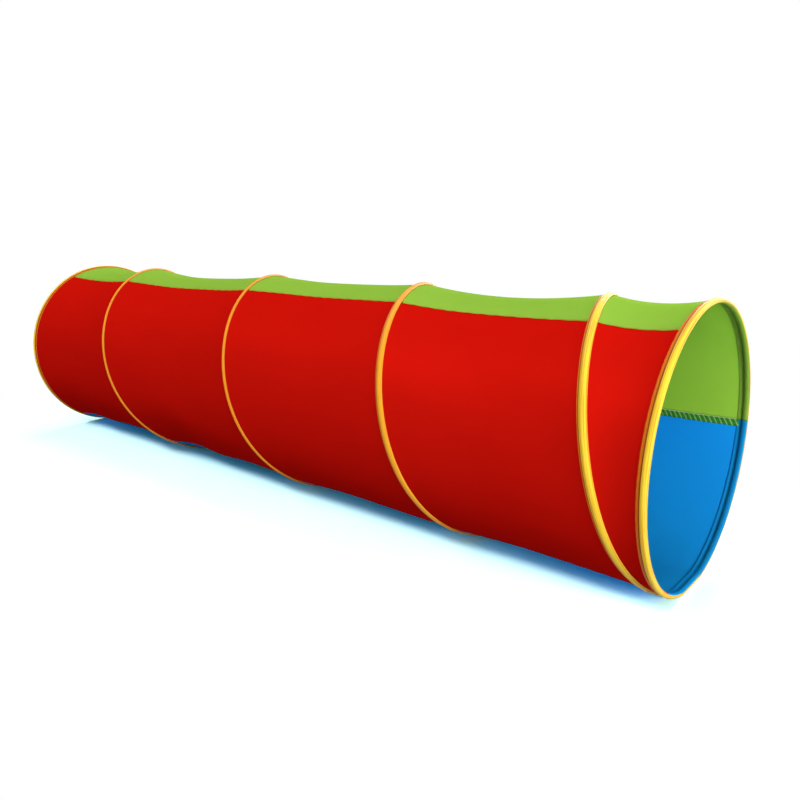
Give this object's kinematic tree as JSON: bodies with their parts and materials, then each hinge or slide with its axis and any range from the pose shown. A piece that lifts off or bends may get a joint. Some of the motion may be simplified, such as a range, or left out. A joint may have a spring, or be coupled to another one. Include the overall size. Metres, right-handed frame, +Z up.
{
  "type": "kids play tunnel",
  "caption": "Pop-up crawl tunnel for small children: a round tube of coloured fabric panels held open by a coiled spring wire in a sewn tape, open at both ends.",
  "frame": {"origin": "on the floor, under the middle of the tunnel", "axes": "+X along the tunnel towards its near open end, +Z up, -Y the side seen in the picture"},
  "size_m": [1.83, 0.48, 0.4764],
  "materials": {
    "red_fabric": "satin",
    "green_fabric": "satin",
    "blue_fabric": "satin",
    "yellow_tape": "woven",
    "spring_steel": "drawn",
    "crimp_metal": "plain"
  },
  "bodies": {
    "near_end": {"near_end_hoop": "spring_steel", "near_end_ferrule": "crimp_metal", "near_end_binding": "yellow_tape", "red_panel_bay_0": "red_fabric", "green_panel_bay_0": "green_fabric", "blue_panel_bay_0": "blue_fabric"},
    "coil_1": {"coil_wire_1": "spring_steel", "coil_tape_1": "yellow_tape", "red_panel_bay_1": "red_fabric", "green_panel_bay_1": "green_fabric", "blue_panel_bay_1": "blue_fabric"},
    "coil_2": {"coil_wire_2": "spring_steel", "coil_tape_2": "yellow_tape", "red_panel_bay_2": "red_fabric", "green_panel_bay_2": "green_fabric", "blue_panel_bay_2": "blue_fabric"},
    "coil_3": {"coil_wire_3": "spring_steel", "coil_tape_3": "yellow_tape", "red_panel_bay_3": "red_fabric", "green_panel_bay_3": "green_fabric", "blue_panel_bay_3": "blue_fabric"},
    "coil_4": {"coil_wire_4": "spring_steel", "coil_tape_4": "yellow_tape", "red_panel_bay_4": "red_fabric", "green_panel_bay_4": "green_fabric", "blue_panel_bay_4": "blue_fabric"},
    "far_end": {"far_end_hoop": "spring_steel", "far_end_ferrule": "crimp_metal", "far_end_binding": "yellow_tape"}
  },
  "joints": [
    {"name": "collapse", "type": "slide", "parent": "near_end", "child": "far_end", "axis": [1, 0, 0], "range_m": [0, 1.74], "stiffness_N_per_m": 14.4, "springref_m": -0.2, "deforming": ["red_panel_bay_0", "green_panel_bay_0", "blue_panel_bay_0"]},
    {"name": "coil_1_slide", "type": "slide", "parent": "near_end", "child": "coil_1", "axis": [1, 0, 0], "range_m": [0, 0.17], "deforming": ["coil_wire_1", "coil_tape_1", "red_panel_bay_1", "green_panel_bay_1", "blue_panel_bay_1"]},
    {"name": "coil_2_slide", "type": "slide", "parent": "near_end", "child": "coil_2", "axis": [1, 0, 0], "range_m": [0, 0.549], "deforming": ["coil_wire_2", "coil_tape_2", "red_panel_bay_2", "green_panel_bay_2", "blue_panel_bay_2"]},
    {"name": "coil_3_slide", "type": "slide", "parent": "near_end", "child": "coil_3", "axis": [1, 0, 0], "range_m": [0, 0.984], "deforming": ["coil_wire_3", "coil_tape_3", "red_panel_bay_3", "green_panel_bay_3", "blue_panel_bay_3"]},
    {"name": "coil_4_slide", "type": "slide", "parent": "near_end", "child": "coil_4", "axis": [1, 0, 0], "range_m": [0, 1.475], "deforming": ["coil_wire_4", "coil_tape_4", "red_panel_bay_4", "green_panel_bay_4", "blue_panel_bay_4"]}
  ],
  "couplings": [
    {"joint": "coil_1_slide", "follows": "collapse", "ratio": 0.096781},
    {"joint": "coil_2_slide", "follows": "collapse", "ratio": 0.31453},
    {"joint": "coil_3_slide", "follows": "collapse", "ratio": 0.56453},
    {"joint": "coil_4_slide", "follows": "collapse", "ratio": 0.84678}
  ]
}
